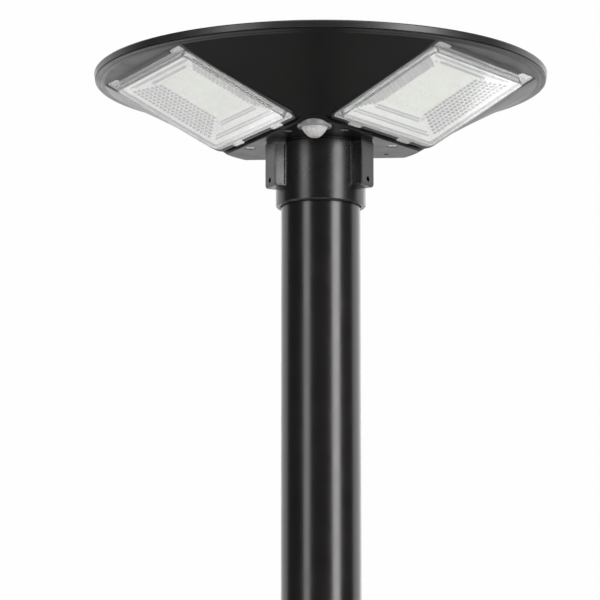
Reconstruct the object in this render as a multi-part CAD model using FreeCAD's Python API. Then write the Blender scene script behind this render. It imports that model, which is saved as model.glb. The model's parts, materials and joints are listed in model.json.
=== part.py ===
import FreeCAD, Part
import math
import os

# Solar street lamp: a round head with three slanted LED lamps, held by a collar on the top of a pole.
# Millimetres. +Z is up and -Y is the front, where the motion sensor is. The origin is the centre of
# the pole's lower end. The solids of each node are written to parts/NODE.step.

# Pole, and the collar that slips over its top
pole_radius = 38.0
pole_wall = 2.5
pole_length = 469.0
pole_end_gap = 0.7          # between the pole's top and the neck that it stops against
pole_chamfer = 0.8
collar_clearance = 0.4      # collar bore over the pole, on the radius
collar_wall = 4.6
collar_length = 58.3
collar_chamfer = 1.2
boss_reach = 11.0           # how far a boss stands out of the collar
boss_half_width = 10.6
boss_length = 43.0
boss_corner = 0.8
boss_foot_round = 3.0
boss_pocket_depth = 1.3     # hollow in each side face of a boss
boss_pocket_margin = 2.0
neck_height = 2.6
neck_inset = 1.0            # neck outline inside the collar's outline

# Set screws, one through each boss, and their moulded-in threaded inserts
set_screw_radius = 2.5
set_screw_length = 12.0
set_screw_gap = 0.3         # screw tip to pole
set_screw_fit = 0.08        # screw in its insert, on the radius
set_screw_height = 6.5      # above the foot of the boss
socket_across_flats = 2.5
socket_depth = 3.0
insert_wall = 1.0
insert_length = 8.0

# Collar screws, down through the housing's floor and the base plate into each boss
collar_screw_offset = 5.3    # from the collar's outside
collar_screw_radius = 2.0
collar_screw_head_radius = 3.5
collar_screw_head_height = 2.4
collar_screw_slot = 0.8
collar_screw_slot_depth = 1.0
collar_screw_bite = 14.0    # length of the screw inside the boss

# Base plate, a triangle with round corners that lie on the dish's cone
plate_thickness = 5.0
plate_margin = 9.6          # from the bosses to each straight edge
plate_screw_inset = 8.6     # from the straight edge
plate_screw_half_spacing = 42.0
plate_screw_radius = 2.0
plate_screw_head_radius = 4.6
plate_screw_head_height = 2.4
plate_screw_sink = 0.4      # head below the plate's underside
plate_screw_length = 11.0
plate_screw_cross = (5.4, 1.1)      # length and width of each arm of the screw's recess
plate_screw_cross_depth = 0.7
plate_screw_post_radius = 4.4
head_clearance = 0.6        # round every recessed screw head, on the radius

# Housing: a dish, flattened by the three lamp seats
dish_over_lamp = 6.26       # the lip's inner edge above the climb of a lamp
dish_foot_offset = 36.9     # from the base plate's straight edge to the dish's foot
dish_bow = 1.9              # how far the cone's middle lies above a straight line
lip_width = 9.0
lip_rise = 2.3
wall = 2.4

# Rim and solar panel
rim_radius = 218.0
band_height = 6.7
band_draft = 1.0            # the band is this much smaller at its foot
band_wall = 3.2
rim_gap = 0.6               # dark seam between the band and the lip
shoulder_rise = 5.0         # the bezel climbs this much from the rim to the glass
shoulder_width = 19.0
bezel_wall = 2.4
rim_edge = 0.8              # blunt edge between the band and the shoulder
glass_thickness = 3.2
glass_recess = 0.4
glass_edge_gap = 0.8
ledge_width = 7.5
bead_height = 0.6
bead_width = 5.0
backsheet_thickness = 0.5
cell_thickness = 0.3
cell_size = 62.0
cell_gap = 2.0
cell_edge_margin = 2.0      # from the ledge to the nearest cell
backsheet_gap = 0.5         # from the ledge to the backsheet
seal_inset = 7.5            # from the rim to the middle of the seal
seal_width = 3.0
flange_width = 5.0          # of the housing's top, inside the seal
seal_depth = 1.2
bezel_screw_inset = 13.5    # from the rim
bezel_screw_offset_deg = 17.0   # each side of a ridge
bezel_screw_radius = 1.5
bezel_screw_head_radius = 3.0
bezel_screw_head_height = 1.8
bezel_screw_head_sink = 0.3
bezel_screw_head_fit = 0.4
bezel_screw_cross = (3.4, 0.8)
bezel_screw_cross_depth = 1.0
bezel_screw_length = 12.0
bezel_post_radius = 4.2

# Lamps. In a lamp's own frame X runs across it, Y runs out towards the rim and Z points out of its face.
lamp_tilt_deg = 24.7
lamp_gap = 5.6              # from the base plate's straight edge to the lens's inner edge
lamp_inner_lift = 4.5       # the lens's inner edge above the base plate's underside
lens_width = 170.0
lens_rim_gap = 34.78        # from the lens's outer edge to the rim, seen from below
lens_corner = 6.0
lens_flange = 3.0
lens_flange_width = 5.0
lens_rise = 4.0
lens_wall = 2.0
lens_edge_round = 1.2
ear_width = 22.0
ear_reach = 4.2
inner_ear_inset = 42.5      # from the lens's side edge
outer_ear_inset = 11.0
gasket_height = 1.2
gasket_width = 3.0
gasket_inset = 1.0
seat_gap = 0.8              # round the lens, in its seat
pocket_depth = 7.9
reflector_gap = 0.5
reflector_border = 4.0
reflector_rise = 8.5        # from the board's face to the tray's rim
reflector_corner = 3.0
window_side_slope = 42.5    # from the pocket's side to the window
window_end_slope = 21.75    # from the pocket's end to the window
board_gap = 0.2             # between the board and the tray
board_thickness = 1.6
board_margin = 4.0          # of the board beyond the window
chip_columns = 8
chip_rows = 6
chip_width = 3.5
chip_length = 2.8
chip_height = 0.8
tray_screw_radius = 1.25
tray_screw_head_radius = 2.3
tray_screw_head_height = 1.2
tray_screw_head_fit = 0.3
tray_screw_side_offset = 6.5    # from the window's edges
tray_screw_end_offset = 3.0
tray_screw_seat = 0.5       # above the board's face
tray_screw_bite = 1.4       # below the pocket's floor

# Motion sensor, near the front corner of the base plate
sensor_offset = 25.4        # beyond the base plate's straight edges
sensor_ring_radius = 16.0
sensor_ring_wall = 3.4
sensor_ring_drop = 2.3      # below the base plate's underside
sensor_ring_edge = 0.8
sensor_ring_step = 2.0      # width of the step that the board rests against
sensor_hole_clearance = 0.3
sensor_board_thickness = 1.2
sensor_board_radius = 11.5
sensor_can_radius = 4.6
sensor_can_height = 4.3
sensor_board_lift = 1.8     # above the ring's foot
dome_height = 9.1
dome_radius = 12.5
dome_waist_radius = 9.9
dome_waist_height = 4.4     # below the ring's foot
dome_tip_radius = 4.6
dome_wall = 1.0
dome_skirt = 1.6            # of the dome inside the ring

# Status light and power button, in the base plate
light_offset = 12.9         # beyond the base plate's straight edges
light_angle_deg = 127.0     # from the front
light_radius = 2.1
light_recess = 1.5
light_rise = 2.0            # above the housing's floor
button_side_offset = 11.4   # from the back boss's side
button_inset = 7.6          # from the base plate's straight edge
button_radius = 5.0
button_clearance = 0.3
button_drop = 2.6
button_travel = 1.2
button_stop_gap = 0.4       # left over at the end of the travel
button_edge_round = 1.0
stem_radius = 2.0
stem_length = 3.6
stem_clearance = 0.5
button_ring_wall = 2.4
button_ring_height = 1.2
switch_size = 12.0
switch_height = 7.0

# Battery, on the housing's floor
cell_radius = 13.1
cell_length = 65.2
cell_edge_round = 0.8
cell_count = 3
cell_gap_in_cradle = 0.8
cradle_wall = 1.6
cradle_height = 9.0
tab_thickness = 0.3
tab_width = 9.0
tab_lift = 4.0              # above the cells' axes
strap_width = 14.0
strap_thickness = 1.2
cradle_gap = 3.1            # from the cradle's back end to the head of the back collar screw

# Controller, above the battery
board_y = 42.0
controller_thickness = 1.6
controller_gap = 5.2        # above the cells
post_radius = 3.2
post_gap = 6.5              # from the battery cells' ends to the posts' axes, outside the cradle
post_side_inset = 4.0       # from the board's ends
post_end_inset = 5.0
controller_screw_radius = 1.25
controller_screw_head_radius = 2.4
controller_screw_head_height = 1.6
controller_screw_length = 7.0

# Junction box under the panel, and the leads
junction_x = 44.0
junction_y = 28.0
junction_height = 7.0
junction_centre_y = 52.0
lead_radius = 1.0
lead_hole_clearance = 0.5
lead_end_gap = 0.1
lead_loop_gap = 2.2         # from the top of a lead's loop to the junction box's foot
lead_loop_margin = 13.0     # of the battery lead outside the battery
lamp_lead_rise = 14.0       # of a lamp's lead before it turns
lamp_lead_inset = 7.75      # of a lamp's lead hole, from the pocket's inner end
sensor_lead_rise = 16.0
switch_lead_rise = 20.0
socket_width = 8.0
socket_length = 6.0
socket_height = 6.0

# Places seen from below, from the pole outwards
bore_radius = pole_radius + collar_clearance
collar_radius = bore_radius + collar_wall
boss_radius = collar_radius + boss_reach
collar_screw_reach = collar_radius + collar_screw_offset
plate_reach = boss_radius + plate_margin
plate_screw_reach = plate_reach - plate_screw_inset
sensor_reach = plate_reach + sensor_offset
light_reach = plate_reach + light_offset
button_x = boss_half_width + button_side_offset
button_y = plate_reach - button_inset
dish_foot_radius = plate_reach + dish_foot_offset
dish_radius = rim_radius - band_draft - lip_width
glass_radius = rim_radius - shoulder_width
seal_radius = rim_radius - seal_inset
bezel_screw_circle = rim_radius - bezel_screw_inset

# A lamp's sizes, and its heights in its own frame
lamp_sides = {"right": -120.0, "left": 120.0, "back": 0.0}
tilt = math.radians(lamp_tilt_deg)
lamp_inner_reach = plate_reach + lamp_gap
lamp_span = rim_radius - lens_rim_gap - lamp_inner_reach      # of the lens, seen from below
lens_length = lamp_span / math.cos(tilt)
inner_ear_offset = lens_width / 2 - inner_ear_inset
outer_ear_offset = lens_width / 2 - outer_ear_inset
pocket_width = lens_width - 2 * (lens_flange_width + lens_wall)
pocket_length = lens_length - 2 * (lens_flange_width + lens_wall)
window_width = pocket_width - 2 * window_side_slope
window_length = pocket_length - 2 * window_end_slope
facet_z = -lens_flange - gasket_height       # the lamp's seat
pocket_z = facet_z - pocket_depth            # the pocket's floor
lamp_lead_y = lamp_lead_inset - pocket_length / 2

# Heights, from the pole's lower end up. The dish is as deep as its lamps climb.
hub_z = pole_length + pole_end_gap
plate_z = hub_z + neck_height
floor_under_z = plate_z + plate_thickness
floor_z = floor_under_z + wall
cone_top_z = plate_z + lamp_span * math.tan(tilt) + dish_over_lamp
lip_z = cone_top_z + lip_rise
rim_z = lip_z + band_height
glass_top_z = rim_z + shoulder_rise - glass_recess
glass_z = glass_top_z - glass_thickness
bead_z = glass_z - bead_height
backsheet_z = glass_z - cell_thickness - backsheet_thickness
lead_loop_z = backsheet_z - junction_height - lead_loop_gap

# Battery and controller
cell_spacing = 2 * cell_radius + cell_gap_in_cradle
cradle_length = (cell_count - 1) * cell_spacing + 2 * (cell_radius + cradle_wall)
battery_y = collar_screw_reach - collar_screw_head_radius - cradle_gap - cradle_length / 2
controller_lift = cradle_wall + 2 * cell_radius + controller_gap
post_x = cell_length / 2 + post_gap + cradle_wall + tab_thickness
post_y = board_y / 2 - post_end_inset
board_x = 2 * (post_x + post_side_inset)

UP = FreeCAD.Vector(0, 0, 1)
CENTRE = FreeCAD.Vector(0, 0, 0)


def cylinder(radius, low, high, x=0.0, y=0.0):
    return Part.makeCylinder(radius, high - low, FreeCAD.Vector(x, y, low))


def tube(outer, inner, low, high, x=0.0, y=0.0):
    return cylinder(outer, low, high, x, y).cut(cylinder(inner, low - 1, high + 1, x, y))


def box(x_low, x_high, y_low, y_high, z_low, z_high):
    corner = FreeCAD.Vector(x_low, y_low, z_low)
    return Part.makeBox(x_high - x_low, y_high - y_low, z_high - z_low, corner)


def centred_box(width, length, low, high, x=0.0, y=0.0):
    return box(x - width / 2, x + width / 2, y - length / 2, y + length / 2, low, high)


def rounded_box(width, length, low, high, corner):
    """A box with its four upright edges rounded."""
    block = centred_box(width, length, low, high)
    upright = [e for e in block.Edges if abs(e.tangentAt(e.FirstParameter).z) > 0.9]
    return block.makeFillet(corner, upright)


def turned(points):
    """A solid of revolution about Z, from (radius, height) points."""
    corners = [FreeCAD.Vector(r, 0, z) for r, z in points]
    return Part.Face(Part.makePolygon(corners + corners[:1])).revolve(CENTRE, UP, 360)


def fused(shapes):
    return shapes[0].multiFuse(shapes[1:]).removeSplitter() if len(shapes) > 1 else shapes[0]


def around(shape, angle):
    """The shape turned about the pole's axis, from the back towards the left."""
    moved = shape.copy()
    moved.rotate(CENTRE, UP, angle)
    return moved


def at_lamp(shape, side):
    """The shape carried from a lamp's own frame to its place on the head."""
    centre_y = lamp_inner_reach + lens_length / 2 * math.cos(tilt)
    centre_z = plate_z + lamp_inner_lift + lens_length / 2 * math.sin(tilt)
    face_down = FreeCAD.Rotation(FreeCAD.Vector(0, 1, 0), 180)
    tip_up = FreeCAD.Rotation(FreeCAD.Vector(1, 0, 0), lamp_tilt_deg)
    moved = shape.copy()
    place = FreeCAD.Placement(FreeCAD.Vector(0, centre_y, centre_z), tip_up.multiply(face_down))
    moved.Placement = place.multiply(shape.Placement)
    return around(moved, lamp_sides[side])


def polar(reach, angle_from_front):
    """The point at this distance from the axis and angle from the front, towards the right."""
    angle = math.radians(angle_from_front)
    return reach * math.sin(angle), -reach * math.cos(angle)


def lead(points):
    """A round cable along straight runs with the largest tangent arcs that the runs allow."""
    spots = [FreeCAD.Vector(*p) for p in points]
    start = spots[0]
    edges = []
    for before, corner, after in zip(spots, spots[1:], spots[2:]):
        back = before - corner
        ahead = after - corner
        setback = 0.45 * min(back.Length, ahead.Length)
        back.normalize()
        ahead.normalize()
        half_turn = (math.pi - back.getAngle(ahead)) / 2
        radius = setback / math.tan(half_turn)
        inward = (back + ahead).normalize()
        middle = corner + inward * (radius / math.cos(half_turn) - radius)
        arc_start = corner + back * setback
        arc_end = corner + ahead * setback
        edges.append(Part.LineSegment(start, arc_start).toShape())
        edges.append(Part.Arc(arc_start, middle, arc_end).toShape())
        start = arc_end
    edges.append(Part.LineSegment(start, spots[-1]).toShape())
    path = Part.Wire(edges)
    section = Part.Wire(Part.makeCircle(lead_radius, spots[0], spots[1] - spots[0]))
    return path.makePipeShell([section], True, True)


def save(node, shapes):
    shape = shapes[0] if len(shapes) == 1 else Part.makeCompound(shapes)
    shape.exportStep("parts/" + node + ".step")


# ---------------------------------------------------------------- pole and collar

def make_pole():
    inner = pole_radius - pole_wall
    return turned([
        (inner, 0), (pole_radius - pole_chamfer, 0), (pole_radius, pole_chamfer),
        (pole_radius, pole_length - pole_chamfer), (pole_radius - pole_chamfer, pole_length),
        (inner, pole_length),
    ])


def boss_outline(grow):
    """The upright block of the back boss, grown or shrunk on its three free sides."""
    half = boss_half_width + grow
    return -half, half, 0.0, boss_radius + grow


def make_boss():
    foot_z = hub_z - boss_length
    block = box(*boss_outline(0.0), foot_z, hub_z)
    foot = [e for e in block.Edges if e.CenterOfMass.y > boss_radius - 0.1
            and e.CenterOfMass.z < foot_z + 0.1]
    block = block.makeFillet(boss_foot_round, foot)
    upright = [e for e in block.Edges if e.CenterOfMass.y > boss_radius - 0.1
               and abs(e.CenterOfMass.x) > boss_half_width - 0.1]
    block = block.makeChamfer(boss_corner, upright)
    for side in (-1, 1):
        face_x = side * boss_half_width
        low_x, high_x = sorted((face_x - side * boss_pocket_depth, face_x + side))
        block = block.cut(box(low_x, high_x, collar_radius, boss_radius - boss_pocket_margin,
                              foot_z + boss_pocket_margin, hub_z - boss_pocket_margin))
    return block


def radial_cylinder(radius, start, end, height):
    """A cylinder along the back boss's screw axis, between two distances from the pole's axis."""
    return Part.makeCylinder(radius, end - start, FreeCAD.Vector(0, start, height), FreeCAD.Vector(0, 1, 0))


def set_screw_z():
    return hub_z - boss_length + set_screw_height


def make_collar():
    foot_z = hub_z - collar_length
    body = turned([
        (0, foot_z), (collar_radius - collar_chamfer, foot_z), (collar_radius, foot_z + collar_chamfer),
        (collar_radius, hub_z), (0, hub_z),
    ])
    boss = make_boss()
    body = fused([body] + [around(boss, angle) for angle in lamp_sides.values()])
    body = body.cut(cylinder(bore_radius, foot_z - 1, hub_z + 1))
    body = body.cut(Part.makeCone(bore_radius + 1.0, bore_radius, 1.0, FreeCAD.Vector(0, 0, foot_z)))
    insert_end = bore_radius + insert_length
    hole = radial_cylinder(set_screw_radius + set_screw_fit, bore_radius - 2, boss_radius + 1, set_screw_z())
    hole = hole.fuse(radial_cylinder(set_screw_radius + set_screw_fit + insert_wall,
                                     bore_radius - 2, insert_end, set_screw_z()))
    screw_hole = collar_screw_hole(hub_z - collar_screw_bite)
    for angle in lamp_sides.values():
        body = body.cut(around(hole, angle)).cut(around(screw_hole, angle))
    return body


def make_insert():
    outer = set_screw_radius + set_screw_fit + insert_wall
    ring = radial_cylinder(outer, bore_radius, bore_radius + insert_length, set_screw_z())
    ring = ring.common(tube(boss_radius, bore_radius, set_screw_z() - 10, set_screw_z() + 10))
    return ring.cut(radial_cylinder(set_screw_radius + set_screw_fit, 0, boss_radius, set_screw_z()))


def make_set_screw():
    start = pole_radius + set_screw_gap
    end = start + set_screw_length
    height = set_screw_z()
    screw = radial_cylinder(set_screw_radius, start, end, height)
    tip = [e for e in screw.Edges if e.CenterOfMass.y < start + 0.1]
    screw = screw.makeChamfer(0.5, tip)
    across_corners = socket_across_flats / math.cos(math.pi / 6)
    corners = []
    for step in range(7):
        angle = math.radians(60 * step)
        corners.append(FreeCAD.Vector(across_corners / 2 * math.cos(angle), end + 1,
                                      height + across_corners / 2 * math.sin(angle)))
    socket = Part.Face(Part.makePolygon(corners)).extrude(FreeCAD.Vector(0, -socket_depth - 1, 0))
    return screw.cut(socket)


def collar_screw_hole(low):
    return cylinder(collar_screw_radius, low, floor_z + 1, 0.0, collar_screw_reach)


def make_collar_screw():
    shank = cylinder(collar_screw_radius, hub_z - collar_screw_bite, floor_z, 0.0, collar_screw_reach)
    head = cylinder(collar_screw_head_radius, floor_z, floor_z + collar_screw_head_height,
                    0.0, collar_screw_reach)
    slot_z = floor_z + collar_screw_head_height - collar_screw_slot_depth
    slot = centred_box(collar_screw_slot, 2 * collar_screw_head_radius + 1, slot_z, slot_z + 5,
                       0.0, collar_screw_reach)
    return shank.fuse(head).removeSplitter().cut(slot)


# ---------------------------------------------------------------- dish

def dish(inset, low, high):
    """The filled dish between two heights, its cone moved inwards by the inset."""
    foot = FreeCAD.Vector(dish_foot_radius - inset, 0, plate_z)
    rim = FreeCAD.Vector(dish_radius - inset, 0, cone_top_z)
    middle = (foot + rim) * 0.5 + FreeCAD.Vector(0, 0, dish_bow)
    centre_low = FreeCAD.Vector(0, 0, plate_z)
    centre_high = FreeCAD.Vector(0, 0, rim_z + shoulder_rise)
    rim_high = FreeCAD.Vector(dish_radius - inset, 0, rim_z + shoulder_rise)
    outline = Part.Wire([
        Part.LineSegment(centre_low, foot).toShape(),
        Part.Arc(foot, middle, rim).toShape(),
        Part.LineSegment(rim, rim_high).toShape(),
        Part.LineSegment(rim_high, centre_high).toShape(),
        Part.LineSegment(centre_high, centre_low).toShape(),
    ])
    solid = Part.Face(outline).revolve(CENTRE, UP, 360)
    return solid.common(cylinder(rim_radius, low, high))


def beyond_face(low, high_z):
    """Everything outside the plane at this height in each lamp's frame, up to a height on the head."""
    reach = 2 * rim_radius
    slabs = [at_lamp(centred_box(reach, reach, low, low + rim_radius), side) for side in lamp_sides]
    return slabs[0].multiFuse(slabs[1:]).common(cylinder(2 * rim_radius, 0, high_z))


def lamp_block(width, length, low, high):
    return [at_lamp(centred_box(width, length, low, high), side) for side in lamp_sides]


def lens_block(margin, low, high):
    """The lens's outline grown by a margin, at each lamp."""
    width = lens_width + 2 * margin
    length = lens_length + 2 * margin
    return [at_lamp(rounded_box(width, length, low, high, lens_corner + margin), side) for side in lamp_sides]


def ear_places():
    """Each ear's offset across the lens, and its end: -1 towards the pole, 1 towards the rim."""
    places = []
    for side in (-1, 1):
        places.append((side * inner_ear_offset, -1))
        places.append((side * outer_ear_offset, 1))
    return places


def ear(offset, end, grow, low, high):
    """One ear: a tongue with round corners that stands out of the lens's edge."""
    reach = lens_length / 2 + ear_reach + grow
    block = centred_box(ear_width + 2 * grow, 2 * ear_reach + 2 * grow, low, high)
    upright = [e for e in block.Edges if abs(e.tangentAt(e.FirstParameter).z) > 0.9]
    block = block.makeFillet(ear_reach / 2, upright)
    block.translate(FreeCAD.Vector(offset, end * (reach - ear_reach - grow), 0))
    return block


def base_plate_outline(grow, low, high):
    """The triangular prism whose straight sides face the lamps."""
    reach = plate_reach + grow
    prism = cylinder(2 * reach, low, high)
    for angle in lamp_sides.values():
        outside = box(-4 * reach, 4 * reach, reach, 4 * reach, low - 1, high + 1)
        prism = prism.cut(around(outside, angle))
    return prism


def plate_screw_spots():
    spots = []
    for angle in lamp_sides.values():
        for sign in (-1, 1):
            spot = FreeCAD.Vector(sign * plate_screw_half_spacing, plate_screw_reach, 0)
            turn = FreeCAD.Rotation(UP, angle)
            spots.append(turn.multVec(spot))
    return spots


def make_base_plate():
    plate = dish(0.0, plate_z, floor_under_z).common(base_plate_outline(0.0, plate_z, floor_under_z))
    neck = cylinder(collar_radius - neck_inset, hub_z, plate_z)
    blocks = [around(box(*boss_outline(-neck_inset), hub_z, plate_z), angle) for angle in lamp_sides.values()]
    plate = fused([plate, neck] + blocks)
    for spot in plate_screw_spots():
        plate = plate.cut(cylinder(plate_screw_radius, plate_z - 1, floor_z, spot.x, spot.y))
        recess = plate_screw_sink + plate_screw_head_height
        plate = plate.cut(cylinder(plate_screw_head_radius + head_clearance, plate_z - 1, plate_z + recess,
                                   spot.x, spot.y))
    for angle in lamp_sides.values():
        plate = plate.cut(around(collar_screw_hole(hub_z - 1), angle))
    sensor_x, sensor_y = polar(sensor_reach, 0)
    plate = plate.cut(cylinder(sensor_ring_radius + sensor_hole_clearance, plate_z - 1, floor_z,
                               sensor_x, sensor_y))
    light_x, light_y = polar(light_reach, light_angle_deg)
    plate = plate.cut(cylinder(light_radius, plate_z - 1, floor_z, light_x, light_y))
    return plate.cut(cylinder(button_radius + button_clearance, plate_z - 1, floor_z, button_x, button_y))


def make_plate_screw(spot):
    low = plate_z + plate_screw_sink
    head = cylinder(plate_screw_head_radius, low, low + plate_screw_head_height, spot.x, spot.y)
    shank = cylinder(plate_screw_radius, plate_z + 1, plate_z + plate_screw_length, spot.x, spot.y)
    screw = head.fuse(shank).removeSplitter()
    arm, width = plate_screw_cross
    top = low + plate_screw_cross_depth
    screw = screw.cut(centred_box(arm, width, plate_z - 1, top, spot.x, spot.y))
    return screw.cut(centred_box(width, arm, plate_z - 1, top, spot.x, spot.y))


# ---------------------------------------------------------------- housing

def bezel_screw_spots():
    spots = []
    for ridge in (0.0, 120.0, -120.0):
        for sign in (-1, 1):
            spots.append(polar(bezel_screw_circle, ridge + sign * bezel_screw_offset_deg))
    return spots


def make_housing():
    lip = turned([(0, cone_top_z), (dish_radius, cone_top_z), (dish_radius + lip_width, lip_z),
                  (0, lip_z)])
    filled = dish(0.0, floor_under_z, lip_z)
    seats = lens_block(seat_gap + wall, facet_z - wall, 0.0)
    tubs = lamp_block(pocket_width + 2 * wall, pocket_length + 2 * wall, pocket_z - wall, facet_z)
    body = filled.cut(beyond_face(0.0, cone_top_z))
    body = fused([body, lip] + seats + tubs)

    cavity = dish(wall, floor_z, rim_z)
    cavity = cavity.common(cylinder(seal_radius - seal_width / 2 - flange_width, floor_z, rim_z))
    cavity = cavity.cut(beyond_face(-wall, cone_top_z + wall))
    for block in seats + tubs:
        cavity = cavity.cut(block)
    for x, y in bezel_screw_spots():
        cavity = cavity.cut(cylinder(bezel_post_radius, floor_z, lip_z, x, y))
    for spot in plate_screw_spots():
        cavity = cavity.cut(cylinder(plate_screw_post_radius, floor_z, plate_z + plate_screw_length + 2,
                                     spot.x, spot.y))
    body = body.cut(cavity)

    posts = []
    for x in (-post_x, post_x):
        for y in (-post_y, post_y):
            posts.append(cylinder(post_radius, floor_under_z + 1, floor_z + controller_lift, x, y))
    body = fused([body] + posts)

    cuts = []
    cuts += lamp_block(pocket_width, pocket_length, pocket_z, facet_z + 1)
    cuts += lens_block(seat_gap, facet_z, 10.0)
    for side in lamp_sides:
        for offset, end in ear_places():
            cuts.append(at_lamp(ear(offset, end, seat_gap, facet_z, 10.0), side))
        cuts.append(at_lamp(cylinder(lead_radius + lead_hole_clearance, pocket_z - 2 * wall, pocket_z + 1,
                                     0.0, lamp_lead_y), side))
        for x, y in tray_screw_spots():
            cuts.append(at_lamp(cylinder(tray_screw_radius, pocket_z - tray_screw_bite, pocket_z + 1, x, y),
                                side))
    for spot in plate_screw_spots():
        cuts.append(cylinder(plate_screw_radius, floor_under_z - 1, plate_z + plate_screw_length,
                             spot.x, spot.y))
    for angle in lamp_sides.values():
        cuts.append(around(collar_screw_hole(floor_under_z - 1), angle))
    for x, y in bezel_screw_spots():
        cuts.append(cylinder(bezel_screw_radius, bezel_screw_foot_z(), lip_z + 1, x, y))
    for x in (-post_x, post_x):
        for y in (-post_y, post_y):
            top = floor_z + controller_lift
            cuts.append(cylinder(controller_screw_radius,
                                 top + controller_thickness - controller_screw_length, top + 1, x, y))
    cuts.append(tube(seal_radius + seal_width / 2, seal_radius - seal_width / 2,
                     lip_z - seal_depth, lip_z + 1))
    sensor_x, sensor_y = polar(sensor_reach, 0)
    cuts.append(cylinder(lead_radius + lead_hole_clearance, floor_under_z - 1, floor_z + 1,
                         sensor_x, sensor_y))
    cuts.append(cylinder(stem_radius + stem_clearance, floor_under_z - 1, floor_z + 1, button_x, button_y))
    light_x, light_y = polar(light_reach, light_angle_deg)
    cuts.append(cylinder(light_radius, floor_under_z - 1, floor_z + 1, light_x, light_y))
    for cutter in cuts:
        body = body.cut(cutter)
    return body


# ---------------------------------------------------------------- rim and solar panel

def shoulder_z(radius):
    """Height of the bezel's sloping top at this radius."""
    inner = glass_radius + glass_edge_gap
    return rim_z + shoulder_rise * (rim_radius - radius) / (rim_radius - inner)


def bezel_screw_head_z():
    return shoulder_z(bezel_screw_circle + bezel_screw_head_radius) - bezel_screw_head_sink


def bezel_screw_foot_z():
    return bezel_screw_head_z() - bezel_screw_length


def make_bezel():
    seat = glass_radius + glass_edge_gap
    inner = glass_radius - ledge_width
    foot = lip_z + rim_gap
    profile = [
        (rim_radius - band_draft, foot), (rim_radius, rim_z - rim_edge),
        (rim_radius - rim_edge, shoulder_z(rim_radius - rim_edge)),
        (seat, shoulder_z(seat)), (seat, bead_z), (inner, bead_z), (inner, bead_z - bezel_wall),
        (seat + 1.0, bead_z - bezel_wall), (rim_radius - band_wall, rim_z - bezel_wall),
        (rim_radius - band_wall, foot),
    ]
    ring = turned(profile)
    posts = [cylinder(bezel_post_radius, foot - rim_gap, rim_z, x, y) for x, y in bezel_screw_spots()]
    ring = fused([ring] + posts)
    for x, y in bezel_screw_spots():
        ring = ring.cut(cylinder(bezel_screw_radius, foot - 2, rim_z + 10, x, y))
        head_foot = bezel_screw_head_z() - bezel_screw_head_height
        ring = ring.cut(cylinder(bezel_screw_head_radius + bezel_screw_head_fit, head_foot, rim_z + 10, x, y))
    return ring


def make_bezel_screw(x, y):
    top = bezel_screw_head_z()
    head = cylinder(bezel_screw_head_radius, top - bezel_screw_head_height, top, x, y)
    screw = head.fuse(cylinder(bezel_screw_radius, top - bezel_screw_length, top - 1, x, y)).removeSplitter()
    arm, width = bezel_screw_cross
    screw = screw.cut(centred_box(arm, width, top - bezel_screw_cross_depth, top + 1, x, y))
    return screw.cut(centred_box(width, arm, top - bezel_screw_cross_depth, top + 1, x, y))


def make_solar_cells():
    """Square cells in a grid, trimmed to the round panel."""
    limit = glass_radius - ledge_width - cell_edge_margin
    low = glass_z - cell_thickness
    pitch = cell_size + cell_gap
    count = math.ceil(limit / pitch)
    cells = []
    for column in range(-count, count):
        for row in range(-count, count):
            cell = centred_box(cell_size, cell_size, low, glass_z,
                               (column + 0.5) * pitch, (row + 0.5) * pitch)
            cell = cell.common(cylinder(limit, low, glass_z))
            if cell.Volume > 0.1 * cell_size ** 2 * cell_thickness:
                cells.append(cell.Solids[0])
    return cells


def make_backsheet():
    """The laminate behind the cells; it fills the gaps between them."""
    sheet = cylinder(glass_radius - ledge_width - backsheet_gap, backsheet_z, glass_z)
    for cell in make_solar_cells():
        sheet = sheet.cut(cell)
    return sheet


# ---------------------------------------------------------------- lamps

def tray_screw_spots():
    across = window_width / 2 + tray_screw_side_offset
    along = window_length / 2 + tray_screw_end_offset
    return [(x, y) for x in (-across, across) for y in (-along, along)]


def make_lens():
    flange = rounded_box(lens_width, lens_length, -lens_flange, 0.0, lens_corner)
    body_width = lens_width - 2 * lens_flange_width
    body_length = lens_length - 2 * lens_flange_width
    body = rounded_box(body_width, body_length, -lens_flange, lens_rise, lens_corner)
    top_edges = [e for e in body.Edges if e.CenterOfMass.z > lens_rise - 0.01]
    body = body.makeFillet(lens_edge_round, top_edges)
    ears = [ear(offset, end, 0.0, -lens_flange, 0.0) for offset, end in ear_places()]
    lens = fused([flange, body] + ears)
    hollow = rounded_box(body_width - 2 * lens_wall, body_length - 2 * lens_wall,
                         -lens_flange - 1, lens_rise - lens_wall, lens_corner - lens_wall)
    return lens.cut(hollow)


def make_lens_gasket():
    width = lens_width - 2 * gasket_inset
    length = lens_length - 2 * gasket_inset
    outer = rounded_box(width, length, facet_z, -lens_flange, lens_corner)
    inner = rounded_box(width - 2 * gasket_width, length - 2 * gasket_width,
                        facet_z - 1, 0.0, lens_corner - 1)
    return outer.cut(inner)


def board_face_z():
    return pocket_z + board_thickness


def tray_z():
    return board_face_z() + reflector_rise


def tray_screw_seat_z():
    return board_face_z() + tray_screw_seat


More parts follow.
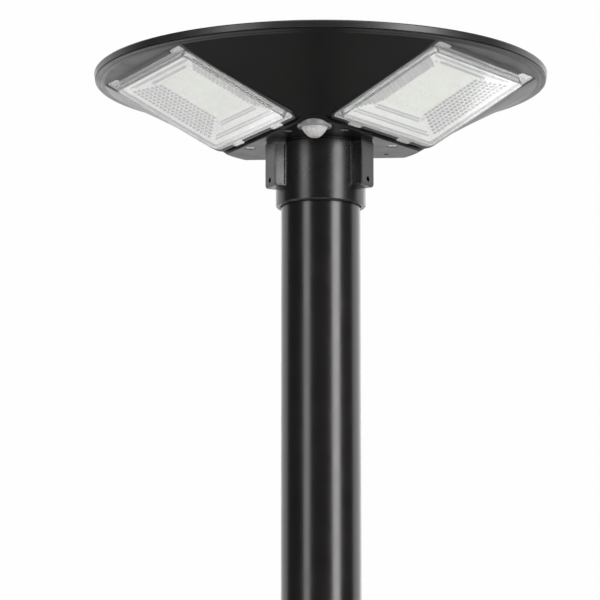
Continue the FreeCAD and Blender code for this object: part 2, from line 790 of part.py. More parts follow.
def make_reflector():
    """A white tray that slopes from its border down to the window over the LED board."""
    width = pocket_width - 2 * reflector_gap
    length = pocket_length - 2 * reflector_gap
    tray = rounded_box(width, length, pocket_z, tray_z(), reflector_corner)
    mouth = Part.makePolygon(rectangle_corners(width - 2 * reflector_border, length - 2 * reflector_border,
                                               tray_z() + 0.01))
    window = Part.makePolygon(rectangle_corners(window_width, window_length, board_face_z()))
    tray = tray.cut(Part.makeLoft([window, mouth], True, True))
    tray = tray.cut(centred_box(window_width + 2 * board_margin + 2 * board_gap,
                                window_length + 2 * board_margin + 2 * board_gap,
                                pocket_z - 1, board_face_z()))
    for x, y in tray_screw_spots():
        tray = tray.cut(cylinder(tray_screw_radius, pocket_z - 1, tray_z() + 1, x, y))
        tray = tray.cut(cylinder(tray_screw_head_radius + tray_screw_head_fit, tray_screw_seat_z(),
                                 tray_z() + 1, x, y))
    return tray


def rectangle_corners(width, length, height):
    spots = [(-1, -1), (1, -1), (1, 1), (-1, 1), (-1, -1)]
    return [FreeCAD.Vector(x * width / 2, y * length / 2, height) for x, y in spots]


def make_led_board():
    return centred_box(window_width + 2 * board_margin, window_length + 2 * board_margin,
                       pocket_z, board_face_z())


def make_led_chips():
    pitch_x = window_width / chip_columns
    pitch_y = window_length / chip_rows
    chips = []
    for column in range(chip_columns):
        for row in range(chip_rows):
            x = (column + 0.5) * pitch_x - window_width / 2
            y = (row + 0.5) * pitch_y - window_length / 2
            chips.append(centred_box(chip_width, chip_length, board_face_z(),
                                     board_face_z() + chip_height, x, y))
    return chips


def make_tray_screws():
    screws = []
    for x, y in tray_screw_spots():
        seat = tray_screw_seat_z()
        head = cylinder(tray_screw_head_radius, seat, seat + tray_screw_head_height, x, y)
        shank = cylinder(tray_screw_radius, pocket_z - tray_screw_bite, seat + 0.5, x, y)
        screws.append(head.fuse(shank).removeSplitter())
    return screws


# ---------------------------------------------------------------- motion sensor, light and button

def sensor_foot_z():
    return plate_z - sensor_ring_drop


def sensor_board_z():
    return sensor_foot_z() + sensor_board_lift


def make_sensor_ring():
    """A short sleeve with an inner step that the sensor's board rests against."""
    x, y = polar(sensor_reach, 0)
    inner = sensor_ring_radius - sensor_ring_wall
    step_z = sensor_board_z() + sensor_board_thickness
    ring = turned([
        (inner, sensor_foot_z()), (sensor_ring_radius - sensor_ring_edge, sensor_foot_z()),
        (sensor_ring_radius, sensor_foot_z() + sensor_ring_edge), (sensor_ring_radius, floor_under_z),
        (inner - sensor_ring_step, floor_under_z), (inner - sensor_ring_step, step_z), (inner, step_z),
    ])
    ring.translate(FreeCAD.Vector(x, y, 0))
    return ring


def make_sensor_dome():
    """A domed lens whose flat-sided steps narrow to a blunt tip, hollow inside."""
    x, y = polar(sensor_reach, 0)
    foot = sensor_foot_z()
    waist = foot - dome_waist_height
    tip = foot - dome_height
    skirt = foot + dome_skirt
    dome = turned([
        (dome_radius, skirt), (dome_radius, foot), (dome_waist_radius, waist),
        (dome_tip_radius, tip), (0, tip),
        (0, tip + dome_wall), (dome_tip_radius - dome_wall / 2, tip + dome_wall),
        (dome_waist_radius - dome_wall, waist + dome_wall / 2), (dome_radius - dome_wall, foot),
        (dome_radius - dome_wall, skirt),
    ])
    dome.translate(FreeCAD.Vector(x, y, 0))
    return dome


def make_button():
    """A push cap with a stem that reaches up into the switch; it moves up when pressed."""
    low = plate_z - button_drop
    top = floor_under_z - button_travel - button_stop_gap
    cap = cylinder(button_radius, low, top, button_x, button_y)
    rim = [e for e in cap.Edges if e.CenterOfMass.z < low + 0.1]
    cap = cap.makeFillet(button_edge_round, rim)
    stem = cylinder(stem_radius, top - 1, floor_z + stem_length, button_x, button_y)
    return cap.fuse(stem).removeSplitter()


def make_switch():
    half = switch_size / 2
    body = box(button_x - half, button_x + half, button_y - half, button_y + half,
               floor_z, floor_z + switch_height)
    hole_top = floor_z + stem_length + button_travel + button_stop_gap
    return body.cut(cylinder(stem_radius + stem_clearance, floor_z - 1, hole_top, button_x, button_y))


# ---------------------------------------------------------------- battery and controller

def cell_rows():
    return [battery_y + (index - (cell_count - 1) / 2) * cell_spacing for index in range(cell_count)]


def cell_axis_z():
    return floor_z + cradle_wall + cell_radius


def make_battery_cells():
    cells = []
    for y in cell_rows():
        start = FreeCAD.Vector(-cell_length / 2, y, cell_axis_z())
        cell = Part.makeCylinder(cell_radius, cell_length, start, FreeCAD.Vector(1, 0, 0))
        cells.append(cell.makeFillet(cell_edge_round, [e for e in cell.Edges if e.Length > cell_radius * 6]))
    return cells


def make_battery_cradle():
    width = cell_length + 2 * (cradle_wall + tab_thickness)
    cradle = centred_box(width, cradle_length, floor_z, floor_z + cradle_wall + cradle_height, 0.0, battery_y)
    room = cell_length + 2 * tab_thickness
    for y in cell_rows():
        start = FreeCAD.Vector(-room / 2, y, cell_axis_z())
        cradle = cradle.cut(Part.makeCylinder(cell_radius, room, start, FreeCAD.Vector(1, 0, 0)))
        cradle = cradle.cut(centred_box(room, 1.2 * cell_radius, cell_axis_z() - 0.8 * cell_radius,
                                        cell_axis_z() + cell_radius, 0.0, y))
    return cradle


def make_battery_tabs():
    tabs = []
    for side in (-1, 1):
        near = side * cell_length / 2
        low_x, high_x = sorted((near, near + side * tab_thickness))
        reach = (cell_count - 1) * cell_spacing / 2 + tab_width / 2
        middle_z = cell_axis_z() + tab_lift
        tabs.append(box(low_x, high_x, battery_y - reach, battery_y + reach,
                        middle_z - tab_width / 2, middle_z + tab_width / 2))
    return tabs


def make_battery_strap():
    top = cell_axis_z() + cell_radius
    outer = centred_box(strap_width, cradle_length + 2 * strap_thickness, floor_z, top + strap_thickness,
                        0.0, battery_y)
    return outer.cut(centred_box(2 * strap_width, cradle_length, floor_z - 1, top, 0.0, battery_y))


def controller_z():
    return floor_z + controller_lift


def make_controller_board():
    board = centred_box(board_x, board_y, controller_z(), controller_z() + controller_thickness)
    for x in (-post_x, post_x):
        for y in (-post_y, post_y):
            board = board.cut(cylinder(controller_screw_radius, controller_z() - 1,
                                       controller_z() + controller_thickness + 1, x, y))
    return board


def make_controller_parts():
    top = controller_z() + controller_thickness
    sockets = [centred_box(socket_width, socket_length, top, top + socket_height, x, y)
               for x, y in socket_spots().values()]
    chip = centred_box(11.0, 9.0, top, top + 1.8, -2.0, 1.0)
    coil = centred_box(13.0, 13.0, top, top + 6.0, 19.0, 0.0)
    capacitors = [cylinder(4.0, top, top + 11.0, x, -4.0) for x in (-26.0, -16.0)]
    drivers = [centred_box(6.5, 6.0, top, top + 2.3, x, 9.0) for x in (-20.0, -10.0)]
    return sockets + [chip, coil] + capacitors + drivers


def socket_spots():
    """Where each lead plugs in, on the controller board."""
    end_y = post_y - 1.0
    return {
        "left": (8.0 - post_x, 1.0 - end_y), "right": (post_x - 8.0, 1.0 - end_y), "back": (0.0, end_y),
        "panel": (12.0, end_y), "battery": (3.0 - post_x, 3.0), "sensor": (0.0, -post_y),
        "switch": (post_x - 12.0, end_y),
    }


def make_controller_screws():
    top = controller_z() + controller_thickness
    screws = []
    for x in (-post_x, post_x):
        for y in (-post_y, post_y):
            head = cylinder(controller_screw_head_radius, top, top + controller_screw_head_height, x, y)
            shank = cylinder(controller_screw_radius, top - controller_screw_length, top + 1, x, y)
            screws.append(head.fuse(shank).removeSplitter())
    return screws


# ---------------------------------------------------------------- leads

def socket_mouth(name):
    """The end of a lead just above its socket, and the point that it drops from."""
    x, y = socket_spots()[name]
    top = controller_z() + controller_thickness + socket_height + lead_end_gap
    return (x, y, lead_loop_z), (x, y, top)


def lamp_lead(side):
    """From the hole behind the LED board, up and over to the controller."""
    start = at_lamp(Part.Vertex(0.0, lamp_lead_y, pocket_z - lead_end_gap), side).Point
    out = at_lamp(Part.Vertex(0.0, lamp_lead_y, pocket_z - wall - lamp_lead_rise), side).Point
    over, end = socket_mouth(side)
    middle = ((out.x + over[0]) / 2, (out.y + over[1]) / 2, over[2] + 2.0)
    return lead([tuple(start), tuple(out), middle, over, end])


def panel_lead():
    over, end = socket_mouth("panel")
    start_z = backsheet_z - junction_height - lead_end_gap
    side_y = junction_centre_y - junction_y / 2 - lead_end_gap
    level = backsheet_z - junction_height / 2
    return lead([(over[0], side_y, level), (over[0], (side_y + over[1]) / 2, level),
                 (over[0], over[1], start_z - 4.0), end])


def battery_lead():
    over, end = socket_mouth("battery")
    tab_x = -cell_length / 2 - tab_thickness - lead_end_gap
    level = cell_axis_z() + tab_lift
    outside_x = tab_x - lead_loop_margin
    cell_y = cell_rows()[-1]
    return lead([(tab_x, cell_y, level), (outside_x, cell_y, level),
                 (outside_x, cell_y, over[2] - 4.0), over, end])


def sensor_lead():
    over, end = socket_mouth("sensor")
    x, y = polar(sensor_reach, 0)
    start_z = sensor_board_z() + sensor_board_thickness + lead_end_gap
    halfway = (x, (y + over[1]) / 2, over[2] - 6.0)
    return lead([(x, y, start_z), (x, y, floor_z + sensor_lead_rise), halfway, over, end])


def switch_lead():
    over, end = socket_mouth("switch")
    top = floor_z + switch_height + lead_end_gap
    return lead([(button_x, button_y, top), (button_x, button_y, top + switch_lead_rise),
                 ((button_x + over[0]) / 2, (button_y + over[1]) / 2, over[2] + 2.0), over, end])


def make_all():
    os.makedirs("parts", exist_ok=True)
    save("pole", [make_pole()])
    save("collar", [make_collar()])
    save("collar_inserts", [around(make_insert(), angle) for angle in lamp_sides.values()])
    save("collar_screws", [around(make_collar_screw(), angle) for angle in lamp_sides.values()])
    for side, angle in lamp_sides.items():
        save("set_screw_" + side, [around(make_set_screw(), angle)])
    save("base_plate", [make_base_plate()])
    save("base_plate_screws", [make_plate_screw(spot) for spot in plate_screw_spots()])
    save("housing", [make_housing()])
    save("bezel", [make_bezel()])
    save("bezel_screws", [make_bezel_screw(x, y) for x, y in bezel_screw_spots()])
    save("rim_seal", [tube(seal_radius + seal_width / 2, seal_radius - seal_width / 2,
                           lip_z - seal_depth, lip_z)])
    save("panel_glass", [cylinder(glass_radius, glass_z, glass_top_z)])
    save("panel_bead", [tube(glass_radius, glass_radius - bead_width, bead_z, glass_z)])
    save("solar_cells", make_solar_cells())
    save("panel_backsheet", [make_backsheet()])
    save("junction_box", [centred_box(junction_x, junction_y, backsheet_z - junction_height, backsheet_z,
                                      0.0, junction_centre_y)])
    for side in lamp_sides:
        save("lens_" + side, [at_lamp(make_lens(), side)])
        save("lens_gasket_" + side, [at_lamp(make_lens_gasket(), side)])
        save("reflector_" + side, [at_lamp(make_reflector(), side)])
        save("led_board_" + side, [at_lamp(make_led_board(), side)])
        save("led_chips_" + side, [at_lamp(chip, side) for chip in make_led_chips()])
        save("tray_screws_" + side, [at_lamp(screw, side) for screw in make_tray_screws()])
    sensor_x, sensor_y = polar(sensor_reach, 0)
    save("sensor_ring", [make_sensor_ring()])
    save("sensor_dome", [make_sensor_dome()])
    save("sensor_board", [cylinder(sensor_board_radius, sensor_board_z(),
                                   sensor_board_z() + sensor_board_thickness, sensor_x, sensor_y)])
    save("sensor_can", [cylinder(sensor_can_radius, sensor_board_z() - sensor_can_height, sensor_board_z(),
                                 sensor_x, sensor_y)])
    light_x, light_y = polar(light_reach, light_angle_deg)
    save("status_light", [cylinder(light_radius, plate_z + light_recess, floor_z + light_rise,
                                   light_x, light_y)])
    save("power_button", [make_button()])
    save("button_ring", [tube(button_radius + button_clearance + button_ring_wall,
                              button_radius + button_clearance, plate_z - button_ring_height, plate_z,
                              button_x, button_y)])
    save("power_switch", [make_switch()])
    save("battery_cells", make_battery_cells())
    save("battery_cradle", [make_battery_cradle()])
    save("battery_tabs", make_battery_tabs())
    save("battery_strap", [make_battery_strap()])
    save("controller_board", [make_controller_board()])
    save("controller_parts", make_controller_parts())
    save("controller_screws", make_controller_screws())
    save("lamp_leads", [lamp_lead(side) for side in lamp_sides])
    save("panel_lead", [panel_lead()])
    save("battery_lead", [battery_lead()])
    save("sensor_lead", [sensor_lead()])
    save("switch_lead", [switch_lead()])


make_all()
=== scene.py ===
"""Looks of the solar street lamp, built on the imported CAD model.

Metres. +Z is up and -Y is the front. CAD nodes keep their shapes and get procedural materials.
Rows of prisms are added to the reflector trays, and a faceted dome replaces the sensor's plain one.
"""
import json
import math

import bmesh
import bpy
from mathutils import Matrix, Vector


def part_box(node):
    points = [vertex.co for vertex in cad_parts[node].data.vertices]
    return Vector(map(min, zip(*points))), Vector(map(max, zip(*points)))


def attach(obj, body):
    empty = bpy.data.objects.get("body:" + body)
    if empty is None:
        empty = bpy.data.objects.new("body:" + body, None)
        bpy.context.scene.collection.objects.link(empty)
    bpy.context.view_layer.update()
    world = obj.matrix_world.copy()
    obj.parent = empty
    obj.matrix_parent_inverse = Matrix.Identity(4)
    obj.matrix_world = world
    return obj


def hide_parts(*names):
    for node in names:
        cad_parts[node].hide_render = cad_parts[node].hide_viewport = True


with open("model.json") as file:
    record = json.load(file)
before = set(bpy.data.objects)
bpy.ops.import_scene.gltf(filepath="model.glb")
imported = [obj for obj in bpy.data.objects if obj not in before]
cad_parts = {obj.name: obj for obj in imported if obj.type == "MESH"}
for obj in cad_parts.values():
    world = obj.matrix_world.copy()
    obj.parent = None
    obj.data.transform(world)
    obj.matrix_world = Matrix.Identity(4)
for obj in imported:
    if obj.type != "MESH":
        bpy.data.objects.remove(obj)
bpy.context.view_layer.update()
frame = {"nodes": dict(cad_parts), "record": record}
MM = 0.001

# Camera, aimed from in front of the lamp and below its rim
camera_distance = 3.0
camera_azimuth = math.radians(3.67)
camera_elevation = math.radians(-13.45)
camera_lens = 186.1
aim_left = 0.0202           # from the centre of the rim to the point in the picture's middle
aim_down = 0.2160
rim_height = 0.540

# Studio. Each light is a panel: (name, azimuth from the front in degrees, height, distance, width,
# height of the panel, brightness). All the panels face the lamp.
floor_height = -4.4
floor_radius = 60.0
floor_glow = 0.5            # seen only by the camera, so that it adds no light to the lamp
floor_step_deg = 5
sky_brightness = 0.10
backdrop_brightness = 0.99
panel_target_height = 0.3
panels = [
    ("strip_right", 48.0, 0.9, 2.6, 1.05, 4.2, 9.0),
    ("strip_left", -37.5, 0.9, 2.6, 0.85, 4.2, 4.6),
    ("wall_right", 135.0, 0.6, 3.0, 3.2, 4.5, 1.6),
    ("wall_left", -135.0, 0.6, 3.0, 3.2, 4.5, 1.2),
    ("wall_back", 180.0, 0.0, 3.4, 3.0, 5.4, 1.0),
    ("low_right", 75.0, -1.9, 3.0, 2.2, 2.2, 3.2),
    ("low_left", -75.0, -1.9, 3.0, 2.2, 2.2, 3.4),
    ("low_front", 5.0, -2.2, 2.6, 2.4, 2.0, 3.2),
    ("overhead", 20.0, 3.4, 1.2, 3.0, 3.0, 1.6),
]

# Lamps, in each lamp's own frame: X across, Y out towards the rim, Z out of the face
lamp_tilt = math.radians(24.7)
lamp_turns = {"right": -120.0, "left": 120.0, "back": 0.0}
board_thickness = 1.6 * MM
window_width = 71.0 * MM
window_length = 68.0 * MM
mouth_width = 147.0 * MM
mouth_length = 102.5 * MM
mouth_rise = 8.5 * MM
screw_across = 42.0 * MM
screw_along = 37.0 * MM
screw_room = 4.2 * MM       # no prism stands this close to a tray screw
first_row = 0.6             # of a pitch, from the window to the middle of the lowest row
prism_sink = 0.2 * MM       # foot of a prism below the slope
prism_taper = 0.35          # of a prism's flat top to its base
# Prisms on the long side slopes and the shorter end slopes. Rows count up from the window.
side_prisms = {"rows": [0, 1, 2, 3, 4, 5, 6], "pitch": 5.2 * MM, "spacing": 4.3 * MM,
               "base": 3.5 * MM, "height": 1.8 * MM}
end_prisms = {"rows": [1, 2, 5, 6], "pitch": 2.6 * MM, "spacing": 3.4 * MM,
              "base": 2.1 * MM, "height": 1.1 * MM}

# Sensor dome: (radius, drop below the ring's foot) of each ring of facets
dome_facets = 12
dome_rings = [
    (12.4 * MM, -1.4 * MM), (12.4 * MM, 0.0), (11.6 * MM, 1.5 * MM), (10.4 * MM, 3.4 * MM),
    (8.6 * MM, 5.6 * MM), (6.5 * MM, 7.7 * MM), (4.5 * MM, 9.0 * MM),
]
dome_wall = 1.0 * MM

# Printed lines on the solar cells
busbar_half_pitch = 8.0 * MM
busbar_half_width = 0.6 * MM
finger_half_pitch = 1.0 * MM
finger_half_width = 0.12 * MM

# Middle part of the range of a noise texture, which nearly all its values fall in
noise_low = 0.3
noise_high = 0.7

# CAD nodes whose finish is not simply their slot's: the collar takes a lighter, glossier copy of the black
# moulding, painted light
node_finishes = {"collar": "collar_lit_moulding"}


# ---------------------------------------------------------------- shader nodes

def new_material(name, **values):
    """A material whose Principled shader has these values; underscores stand for spaces."""
    material = bpy.data.materials.new(name)
    material.use_nodes = True
    shader = material.node_tree.nodes["Principled BSDF"]
    for socket, value in values.items():
        shader.inputs[socket.replace("_", " ")].default_value = value
    return material


def add_node(material, kind, **settings):
    made = material.node_tree.nodes.new(kind)
    for setting, value in settings.items():
        setattr(made, setting, value)
    return made


def link(material, output, target):
    material.node_tree.links.new(output, target)


def feed(material, socket, output):
    link(material, output, material.node_tree.nodes["Principled BSDF"].inputs[socket])


def place(material):
    return add_node(material, "ShaderNodeTexCoord").outputs["Object"]


def noise(material, size, detail=3.0):
    """Grey noise whose features are about this size, in metres."""
    texture = add_node(material, "ShaderNodeTexNoise")
    texture.inputs["Scale"].default_value = 1.0 / size
    texture.inputs["Detail"].default_value = detail
    link(material, place(material), texture.inputs["Vector"])
    return texture.outputs["Fac"]


def spread(material, value, low, high):
    """Noise stretched over a range of values."""
    stretch = add_node(material, "ShaderNodeMapRange")
    stretch.inputs["From Min"].default_value = noise_low
    stretch.inputs["From Max"].default_value = noise_high
    stretch.inputs["To Min"].default_value = low
    stretch.inputs["To Max"].default_value = high
    link(material, value, stretch.inputs["Value"])
    return stretch.outputs["Result"]


def two_tone(material, value, first, second):
    mix = add_node(material, "ShaderNodeMix", data_type="RGBA")
    mix.inputs["A"].default_value = (*first, 1.0)
    mix.inputs["B"].default_value = (*second, 1.0)
    link(material, value, mix.inputs["Factor"])
    return mix.outputs["Result"]


def bump(material, height, depth, under=None):
    """Relief this deep, in metres, over the normal from another node if one is given."""
    relief = add_node(material, "ShaderNodeBump")
    relief.inputs["Distance"].default_value = depth
    link(material, height, relief.inputs["Height"])
    if under is not None:
        link(material, under, relief.inputs["Normal"])
    return relief.outputs["Normal"]


def soft_edges(material, radius):
    """Normals that round off sharp edges, so that they catch the light as real ones do."""
    rounding = add_node(material, "ShaderNodeBevel", samples=4)
    rounding.inputs["Radius"].default_value = radius
    return rounding.outputs["Normal"]


def calculate(material, operation, first, second=0.0):
    """A math node; each input is a number or another node's output."""
    math_node = add_node(material, "ShaderNodeMath", operation=operation)
    for target, value in zip(math_node.inputs, (first, second)):
        if isinstance(value, float):
            target.default_value = value
        else:
            link(material, value, target)
    return math_node.outputs["Value"]


# ---------------------------------------------------------------- materials

def textured(name, dark, light, patch, rough, grain, grain_depth, edge=0.0, **values):
    """A surface with patches of two tones, uneven roughness, a fine grain and softened edges."""
    material = new_material(name, **values)
    feed(material, "Base Color", two_tone(material, spread(material, noise(material, patch), 0.0, 1.0),
                                          dark, light))
    feed(material, "Roughness", spread(material, noise(material, patch * 0.3), rough[0], rough[1]))
    under = soft_edges(material, edge) if edge else None
    feed(material, "Normal", bump(material, noise(material, grain, 2.0), grain_depth, under))
    return material


def make_solar_cell_material():
    """Dark silicon with thin fingers across it and four busbars down each cell."""
    material = new_material("solar_cells", Roughness=0.25, Coat_Weight=0.4)
    across = add_node(material, "ShaderNodeSeparateXYZ")
    link(material, place(material), across.inputs["Vector"])
    shifted = calculate(material, "ADD", across.outputs["X"], busbar_half_pitch)
    from_busbar = calculate(material, "PINGPONG", shifted, busbar_half_pitch)
    busbar = calculate(material, "LESS_THAN", from_busbar, busbar_half_width)
    from_finger = calculate(material, "PINGPONG", across.outputs["Y"], finger_half_pitch)
    finger = calculate(material, "LESS_THAN", from_finger, finger_half_width)
    silicon = two_tone(material, spread(material, noise(material, 0.05), 0.0, 1.0),
                       (0.018, 0.026, 0.075), (0.028, 0.040, 0.105))
    silver = add_node(material, "ShaderNodeMix", data_type="RGBA")
    silver.inputs["B"].default_value = (0.75, 0.76, 0.78, 1.0)
    link(material, silicon, silver.inputs["A"])
    link(material, calculate(material, "MAXIMUM", busbar, finger), silver.inputs["Factor"])
    feed(material, "Base Color", silver.outputs["Result"])
    feed(material, "Normal", bump(material, noise(material, 0.0008), 0.00001))
    return material


def make_clear_material(name, tint, clearness, rough, ripple, ripple_depth):
    """Clear glass or moulded plastic, with a faint ripple and slightly uneven polish."""
    material = new_material(name, Base_Color=(*tint, 1.0), Transmission_Weight=clearness, IOR=1.49)
    feed(material, "Roughness", spread(material, noise(material, ripple), rough[0], rough[1]))
    feed(material, "Normal", bump(material, noise(material, ripple, 1.0), ripple_depth))
    return material


def make_materials():
    """A material for each slot of the record, a lighter, glossier copy of the black moulding as painted light
    on the collar, and grey painted shade for the prisms' sides.
    """
    return {
        "pole_paint": textured("pole_paint", (0.0035, 0.0028, 0.0028), (0.0055, 0.0045, 0.0045), 0.09,
                               (0.21, 0.26), 0.0012, 0.00001, 0.0006),
        "black_moulding": textured("black_moulding", (0.0009, 0.0006, 0.0005), (0.0018, 0.0013, 0.0012), 0.06,
                                   (0.30, 0.37), 0.0007, 0.00002, 0.0007, Specular_IOR_Level=0.22),
        # the collar's copy of the black moulding, lighter and glossier: painted light
        "collar_lit_moulding": textured("collar_lit_moulding", (0.003, 0.0024, 0.0024), (0.005, 0.004, 0.004), 0.05,
                                    (0.25, 0.31), 0.0007, 0.00002, 0.0007, Specular_IOR_Level=0.47),
        "bezel_moulding": textured("bezel_moulding", (0.005, 0.0045, 0.0043), (0.008, 0.007, 0.0067), 0.08,
                                   (0.32, 0.38), 0.0007, 0.000015, 0.0007),
        "glass_panel": make_clear_material("glass_panel", (0.96, 0.985, 0.98), 1.0, (0.0, 0.03), 0.05,
                                           0.000005),
        "cells": make_solar_cell_material(),
        "backsheet": textured("backsheet", (0.012, 0.012, 0.014), (0.018, 0.018, 0.02), 0.03,
                              (0.4, 0.5), 0.001, 0.00001),
        "black_rubber": textured("black_rubber", (0.012, 0.012, 0.012), (0.02, 0.02, 0.02), 0.01,
                                 (0.6, 0.75), 0.0005, 0.00003),
        "bright_steel": textured("bright_steel", (0.42, 0.42, 0.42), (0.55, 0.55, 0.55), 0.004,
                                 (0.22, 0.36), 0.0003, 0.00002, 0.0003, Metallic=1.0),
        "black_steel": textured("black_steel", (0.02, 0.02, 0.022), (0.035, 0.035, 0.036), 0.003,
                                (0.3, 0.42), 0.0003, 0.00001, Metallic=0.6),
        "brass_insert": textured("brass_insert", (0.62, 0.42, 0.14), (0.75, 0.52, 0.2), 0.004,
                                 (0.25, 0.4), 0.0006, 0.00003, Metallic=1.0),
        "clear_lens": make_clear_material("clear_lens", (0.985, 0.99, 0.985), 0.9, (0.02, 0.07), 0.012,
                                          0.000003),
        "white_tray": textured("white_tray", (0.80, 0.80, 0.79), (0.86, 0.86, 0.85), 0.02,
                               (0.3, 0.42), 0.0008, 0.00001, 0.0003),
        "white_board": textured("white_board", (0.78, 0.80, 0.74), (0.84, 0.86, 0.80), 0.01,
                                (0.4, 0.5), 0.0006, 0.00001),
        "led_phosphor": textured("led_phosphor", (0.80, 0.80, 0.58), (0.86, 0.86, 0.66), 0.002,
                                 (0.35, 0.5), 0.0003, 0.00001),
        "grey_sensor": textured("grey_sensor", (0.11, 0.12, 0.115), (0.16, 0.17, 0.165), 0.006,
                                (0.3, 0.42), 0.0005, 0.00002, 0.0005),
        "white_dome": textured("white_dome", (0.27, 0.262, 0.258), (0.33, 0.322, 0.318), 0.004,
                               (0.25, 0.4), 0.0006, 0.00002, 0.0003),
        "green_board": textured("green_board", (0.01, 0.09, 0.035), (0.015, 0.13, 0.05), 0.008,
                                (0.3, 0.42), 0.001, 0.00002),
        "sensor_metal": textured("sensor_metal", (0.5, 0.5, 0.48), (0.62, 0.62, 0.6), 0.003,
                                 (0.25, 0.35), 0.0004, 0.00001, Metallic=1.0),
        "black_plastic": textured("black_plastic", (0.012, 0.012, 0.012), (0.02, 0.02, 0.02), 0.02,
                                  (0.4, 0.5), 0.0006, 0.00002, 0.0004),
        "status_lens": textured("status_lens", (0.03, 0.012, 0.012), (0.05, 0.02, 0.02), 0.003,
                                (0.15, 0.25), 0.0006, 0.00001),
        "cell_wrap": textured("cell_wrap", (0.02, 0.10, 0.32), (0.03, 0.14, 0.40), 0.02,
                              (0.25, 0.35), 0.002, 0.00001),
        "lead_sleeve": textured("lead_sleeve", (0.015, 0.015, 0.015), (0.03, 0.03, 0.03), 0.004,
                                (0.45, 0.6), 0.0006, 0.00002),
        # grey painted shade for the sides of the white prisms
        "prism_painted_shade": textured("prism_painted_shade", (0.11, 0.11, 0.11), (0.16, 0.16, 0.16), 0.01,
                                (0.15, 0.3), 0.0008, 0.00001),
    }


def paint_cad_nodes(materials):
    for subpart in frame["record"]["subparts"]:
        slots = frame["nodes"][subpart["node"]].data.materials
        slots.clear()
        finish = node_finishes.get(subpart["node"], subpart["material_slot"])
        slots.append(materials[finish])


# ---------------------------------------------------------------- pieces

def box_centre(node):
    low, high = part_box(node)
    return (Vector(low) + Vector(high)) / 2


def lamp_frame(side):
    """The lamp's own frame, with its origin at the centre of the LED board's face."""
    turn = Matrix.Rotation(math.radians(lamp_turns[side]), 4, "Z")
    tilt = Matrix.Rotation(lamp_tilt, 4, "X") @ Matrix.Rotation(math.pi, 4, "Y")
    rotation = turn @ tilt
    centre = box_centre("led_board_" + side) + rotation.to_3x3() @ Vector((0, 0, board_thickness / 2))
    return Matrix.Translation(centre) @ rotation


def new_piece(name, builder, matrix, material):
    """A mesh piece on the head, made from a bmesh."""
    mesh = bpy.data.meshes.new(name)
    builder.normal_update()
    builder.to_mesh(mesh)
    builder.free()
    piece = bpy.data.objects.new(name, mesh)
    bpy.context.scene.collection.objects.link(piece)
    piece.matrix_world = matrix
    mesh.materials.append(material)
    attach(piece, "head")
    return piece


def add_loop(builder, points):
    return [builder.verts.new(point) for point in points]


def bridge(builder, first, second):
    """Quads between two loops that run the same way."""
    count = len(first)
    quads = []
    for index in range(count):
        after = (index + 1) % count
        quads.append(builder.faces.new((first[index], first[after], second[after], second[index])))
    return quads


def add_prism(builder, centre, along, up_slope, outward, prisms):
    """A four-sided prism with a flat top that stands on a slope."""
    low = []
    high = []
    for x_side, y_side in [(-1, -1), (1, -1), (1, 1), (-1, 1)]:
        corner = (along * x_side + up_slope * y_side) * (prisms["base"] / 2)
        low.append(builder.verts.new(centre + corner - outward * prism_sink))
        high.append(builder.verts.new(centre + corner * prism_taper + outward * prisms["height"]))
    for side in bridge(builder, low, high):
        # the prism's sides take the second material, grey painted shade
        side.material_index = 1
    builder.faces.new(high)


def add_prism_rows(builder, foot_start, foot_end, top_start, top_end, prisms):
    """Rows of prisms on the slope between a foot edge and a top edge, clear of the tray's screws."""
    along = (foot_end - foot_start).normalized()
    slope = top_start - foot_start
    slope -= along * slope.dot(along)
    up_slope = slope.normalized()
    outward = up_slope.cross(along)
    spacing = prisms["spacing"]
    for row in prisms["rows"]:
        share = prisms["pitch"] * (row + first_row) / slope.length
        start = foot_start.lerp(top_start, share)
        end = foot_end.lerp(top_end, share)
        count = int((end - start).length / spacing) - 1
        first = start.lerp(end, 0.5) - along * (spacing * (count - 1) / 2)
        for column in range(count):
            centre = first + along * (column * spacing)
            to_screw = Vector((abs(centre.x) - screw_across, abs(centre.y) - screw_along))
            if to_screw.length > screw_room:
                add_prism(builder, centre, along, up_slope, outward, prisms)


def make_prisms(side, material, prism_shade_material):
    """The rows of prisms on the four sloping sides of a reflector tray, their sides grey with painted shade.
    """
    builder = bmesh.new()
    signs = [(-1, -1), (1, -1), (1, 1), (-1, 1), (-1, -1)]
    feet = [Vector((x * window_width / 2, y * window_length / 2, 0.0)) for x, y in signs]
    tops = [Vector((x * mouth_width / 2, y * mouth_length / 2, mouth_rise)) for x, y in signs]
    slopes = zip(feet, feet[1:], tops, tops[1:], [end_prisms, side_prisms, end_prisms, side_prisms])
    for start, end, top_start, top_end, prisms in slopes:
        add_prism_rows(builder, start, end, top_start, top_end, prisms)
    piece = new_piece("prisms_" + side, builder, lamp_frame(side), material)
    piece.data.materials.append(prism_shade_material)


def make_dome(material):
    """The sensor's lens: rings of flat facets, each ring turned half a facet from the last."""
    centre = box_centre("sensor_ring")
    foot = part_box("sensor_ring")[0][2]
    builder = bmesh.new()
    loops = []
    for index, (radius, drop) in enumerate(dome_rings):
        points = []
        for step in range(dome_facets):
            angle = 2 * math.pi * (step + (index % 2) / 2) / dome_facets
            points.append((radius * math.cos(angle), radius * math.sin(angle), -drop))
        loops.append(add_loop(builder, points))
    for index, (first, second) in enumerate(zip(loops, loops[1:])):
        for step in range(dome_facets):
            after = (step + 1) % dome_facets
            if index % 2 == 0:
                builder.faces.new((first[step], first[after], second[step]))
                builder.faces.new((first[after], second[after], second[step]))
            else:
                builder.faces.new((first[step], first[after], second[after]))
                builder.faces.new((first[step], second[after], second[step]))
    builder.faces.new(loops[-1])
    bmesh.ops.recalc_face_normals(builder, faces=builder.faces)
    place_matrix = Matrix.Translation((centre.x, centre.y, foot))
    piece = new_piece("faceted_dome", builder, place_matrix, material)
    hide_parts("sensor_dome")
    shell = piece.modifiers.new("shell", "SOLIDIFY")
    shell.thickness = dome_wall


# ---------------------------------------------------------------- studio and camera

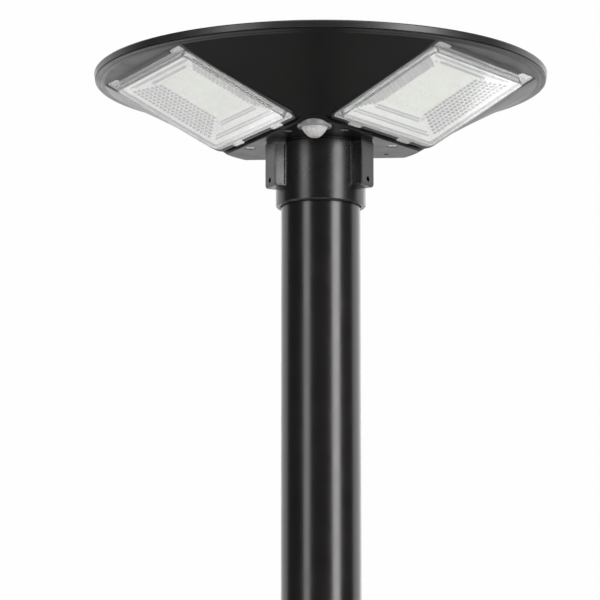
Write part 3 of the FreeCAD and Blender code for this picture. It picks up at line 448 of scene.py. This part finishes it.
def make_floor():
    builder = bmesh.new()
    centre = builder.verts.new((0, 0, floor_height))
    rim = add_loop(builder, [(floor_radius * math.cos(math.radians(angle)),
                              floor_radius * math.sin(math.radians(angle)), floor_height)
                             for angle in range(0, 360, floor_step_deg)])
    for start, end in zip(rim, rim[1:] + rim[:1]):
        builder.faces.new((centre, start, end))
    mesh = bpy.data.meshes.new("studio_floor")
    builder.to_mesh(mesh)
    builder.free()
    floor = bpy.data.objects.new("studio_floor", mesh)
    bpy.context.scene.collection.objects.link(floor)
    paint = textured("floor_paint", (0.80, 0.80, 0.79), (0.83, 0.83, 0.82), 0.5, (0.6, 0.7), 0.01, 0.0001,
                     Emission_Color=(1.0, 1.0, 1.0, 1.0))
    path = add_node(paint, "ShaderNodeLightPath")
    feed(paint, "Emission Strength", calculate(paint, "MULTIPLY", path.outputs["Is Camera Ray"], floor_glow))
    mesh.materials.append(paint)


def make_panel(name, azimuth, height, distance, width, length, brightness):
    light = bpy.data.lights.new(name, "AREA")
    light.shape = "RECTANGLE"
    light.size = width
    light.size_y = length
    light.energy = brightness * math.pi * width * length
    panel = bpy.data.objects.new(name, light)
    angle = math.radians(azimuth)
    panel.location = (distance * math.sin(angle), -distance * math.cos(angle), height)
    target = Vector((0, 0, panel_target_height))
    panel.rotation_euler = (target - panel.location).to_track_quat("-Z", "Y").to_euler()
    panel.visible_camera = False
    bpy.context.scene.collection.objects.link(panel)


def make_sky():
    """A white backdrop for the camera, and a dimmer room for the lamp to reflect."""
    world = bpy.data.worlds.new("studio")
    bpy.context.scene.world = world
    world.use_nodes = True
    nodes = world.node_tree.nodes
    path = nodes.new("ShaderNodeLightPath")
    strength = nodes.new("ShaderNodeMapRange")
    strength.inputs["To Min"].default_value = sky_brightness
    strength.inputs["To Max"].default_value = backdrop_brightness
    background = nodes["Background"]
    background.inputs["Color"].default_value = (1.0, 1.0, 1.0, 1.0)
    world.node_tree.links.new(path.outputs["Is Camera Ray"], strength.inputs["Value"])
    world.node_tree.links.new(strength.outputs["Result"], background.inputs["Strength"])


def make_camera():
    away = Vector((math.sin(camera_azimuth) * math.cos(camera_elevation),
                   -math.cos(camera_azimuth) * math.cos(camera_elevation),
                   math.sin(camera_elevation)))
    rim_centre = Vector((0, 0, rim_height))
    straight = (-away).to_track_quat("-Z", "Y")
    right = straight @ Vector((1, 0, 0))
    up = straight @ Vector((0, 1, 0))
    camera = bpy.data.objects.new("camera", bpy.data.cameras.new("camera"))
    camera.data.lens = camera_lens
    camera.location = rim_centre + away * camera_distance
    aim = rim_centre - right * aim_left - up * aim_down
    camera.rotation_euler = (aim - camera.location).to_track_quat("-Z", "Y").to_euler()
    bpy.context.scene.collection.objects.link(camera)
    bpy.context.scene.camera = camera
    bpy.context.scene.view_settings.view_transform = "Standard"


make_camera()
make_sky()
make_floor()
for panel_values in panels:
    make_panel(*panel_values)
finishes = make_materials()
paint_cad_nodes(finishes)
for lamp_side in lamp_turns:
    make_prisms(lamp_side, finishes["white_tray"], finishes["prism_painted_shade"])
make_dome(finishes["white_dome"])
